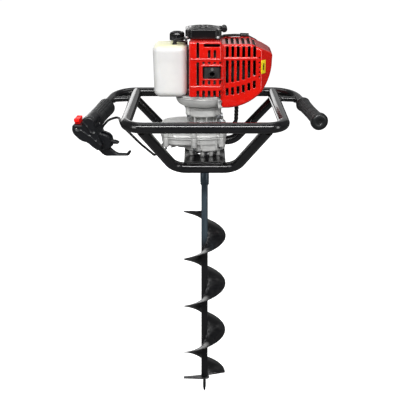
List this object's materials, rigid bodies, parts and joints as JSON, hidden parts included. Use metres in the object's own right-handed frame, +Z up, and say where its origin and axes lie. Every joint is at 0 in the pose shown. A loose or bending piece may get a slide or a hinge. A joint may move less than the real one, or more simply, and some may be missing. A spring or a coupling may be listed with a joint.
{
  "type": "ice fishing auger",
  "caption": "Hand-held petrol ice auger: helical bit on a geared drive, small engine with tank and recoil starter, tube frame with two grips.",
  "frame": {"origin": "tip of the bit on its spin axis", "axes": "+Z up along the bit, +X to the right-hand grip, -Y towards the front loop of the frame"},
  "size_m": [0.5859, 0.3234, 0.905],
  "materials": {
    "black_paint": "gloss powder coat",
    "shaft_steel": "satin slate blue coat",
    "bit_black": "gloss black coat",
    "edge_steel": "ground edges",
    "machined_steel": "machined, oiled",
    "cast_aluminium": "sand-cast and blasted",
    "bushing_bronze": "sintered",
    "seal_rubber": "matte",
    "grip_rubber": "satin ribbed",
    "friction_lining": "moulded friction lining",
    "red_cover": "gloss moulded",
    "switch_red": "satin moulded",
    "black_moulding": "gloss moulded",
    "control_moulding": "satin moulded",
    "tank_plastic": "translucent moulded",
    "muffler_black": "heatproof matte paint",
    "foam": "open-cell foam"
  },
  "bodies": {
    "frame": {"gearcase_lower": "cast_aluminium", "gearcase_upper": "cast_aluminium", "output_bearing": "machined_steel", "output_seal": "seal_rubber", "layshaft_bearing_lower": "bushing_bronze", "layshaft_bearing_upper": "bushing_bronze", "input_bearing": "machined_steel", "blower_housing": "cast_aluminium", "crankcase": "cast_aluminium", "main_bearing_lower": "machined_steel", "main_bearing_upper": "machined_steel", "cylinder": "cast_aluminium", "spark_plug": "machined_steel", "plug_boot": "seal_rubber", "carburettor": "cast_aluminium", "muffler": "muffler_black", "cooling_shroud": "red_cover", "fuel_tank": "tank_plastic", "air_filter_housing": "control_moulding", "air_filter_element": "foam", "fuel_line": "seal_rubber", "starter_housing": "black_moulding", "starter_rope": "seal_rubber", "handlebar": "black_paint", "front_loop": "black_paint", "lower_front_tube": "black_paint", "lower_rear_tube": "black_paint", "gusset_left": "black_paint", "gusset_right": "black_paint", "mount_plate": "black_paint", "right_grip": "grip_rubber", "left_grip": "grip_rubber", "throttle_housing": "control_moulding", "throttle_cable": "seal_rubber"},
    "bit": {"bit_shaft": "shaft_steel", "bit_collar": "shaft_steel", "coupling_pin": "edge_steel", "bit_flight": "bit_black", "cutting_blade": "bit_black", "centre_point": "bit_black", "output_shaft": "machined_steel", "output_gear": "machined_steel"},
    "layshaft_assembly": {"layshaft": "machined_steel", "layshaft_gear": "machined_steel"},
    "input_assembly": {"input_shaft": "machined_steel", "clutch_drum": "machined_steel"},
    "crank_assembly": {"crankshaft": "machined_steel", "flywheel": "cast_aluminium", "clutch_hub": "machined_steel"},
    "right_shoe": {"clutch_shoe_right": "friction_lining"},
    "left_shoe": {"clutch_shoe_left": "friction_lining"},
    "piston_assembly": {"piston": "cast_aluminium", "wrist_pin": "machined_steel", "connecting_rod": "machined_steel"},
    "starter_reel": {"starter_pulley": "control_moulding"},
    "pull_handle": {"starter_handle": "control_moulding"},
    "trigger": {"throttle_trigger": "control_moulding"},
    "kill_switch": {"stop_switch": "switch_red"},
    "choke": {"choke_lever": "control_moulding"},
    "filler_cap": {"fuel_cap": "black_moulding"}
  },
  "joints": [
    {"name": "output_spin", "type": "hinge", "parent": "frame", "child": "bit", "pos_m": [0, 0, 0.6], "axis": [0, 0, 1], "continuous": true},
    {"name": "layshaft_spin", "type": "hinge", "parent": "frame", "child": "layshaft_assembly", "pos_m": [-0.051, 0, 0.65], "axis": [0, 0, 1], "continuous": true},
    {"name": "input_spin", "type": "hinge", "parent": "frame", "child": "input_assembly", "pos_m": [-0.003, 0, 0.69], "axis": [0, 0, 1], "continuous": true},
    {"name": "crank_spin", "type": "hinge", "parent": "frame", "child": "crank_assembly", "pos_m": [-0.003, 0, 0.79], "axis": [0, 0, 1], "continuous": true},
    {"name": "right_shoe_slide", "type": "slide", "parent": "crank_assembly", "child": "right_shoe", "axis": [1, 0, 0], "range_m": [0, 0.001]},
    {"name": "left_shoe_slide", "type": "slide", "parent": "crank_assembly", "child": "left_shoe", "axis": [-1, 0, 0], "range_m": [0, 0.001]},
    {"name": "piston_slide", "type": "slide", "parent": "frame", "child": "piston_assembly", "axis": [-1, 0, 0], "range_m": [0, 0.024]},
    {"name": "pull_slide", "type": "slide", "parent": "frame", "child": "pull_handle", "axis": [1, 0, 0], "range_m": [0, 0.6]},
    {"name": "reel_spin", "type": "hinge", "parent": "frame", "child": "starter_reel", "pos_m": [-0.003, 0, 0.895], "axis": [0, 0, 1], "range_deg": [-1323, 0]},
    {"name": "trigger_squeeze", "type": "hinge", "parent": "frame", "child": "trigger", "pos_m": [-0.22734, -0.08339, 0.6619], "axis": [0.2489, 0.9548, 0.1627], "range_deg": [0, 20], "stiffness_Nm_per_rad": 0.05},
    {"name": "switch_rock", "type": "hinge", "parent": "frame", "child": "kill_switch", "pos_m": [-0.28961, -0.07253, 0.69652], "axis": [0.9677, -0.2522, 0], "range_deg": [-8, 8]},
    {"name": "choke_swing", "type": "hinge", "parent": "frame", "child": "choke", "pos_m": [-0.0255, 0.056, 0.8], "axis": [-1, 0, 0], "range_deg": [0, 50]},
    {"name": "cap_turn", "type": "hinge", "parent": "frame", "child": "filler_cap", "pos_m": [-0.064, 0, 0.88], "axis": [0, 0, 1], "range_deg": [0, 360]}
  ],
  "couplings": [
    {"joint": "layshaft_spin", "follows": "output_spin", "ratio": -4.6667},
    {"joint": "input_spin", "follows": "output_spin", "ratio": 28.519},
    {"joint": "left_shoe_slide", "follows": "right_shoe_slide", "ratio": 1},
    {"joint": "reel_spin", "follows": "pull_slide", "rad_per_m": -38.462}
  ]
}
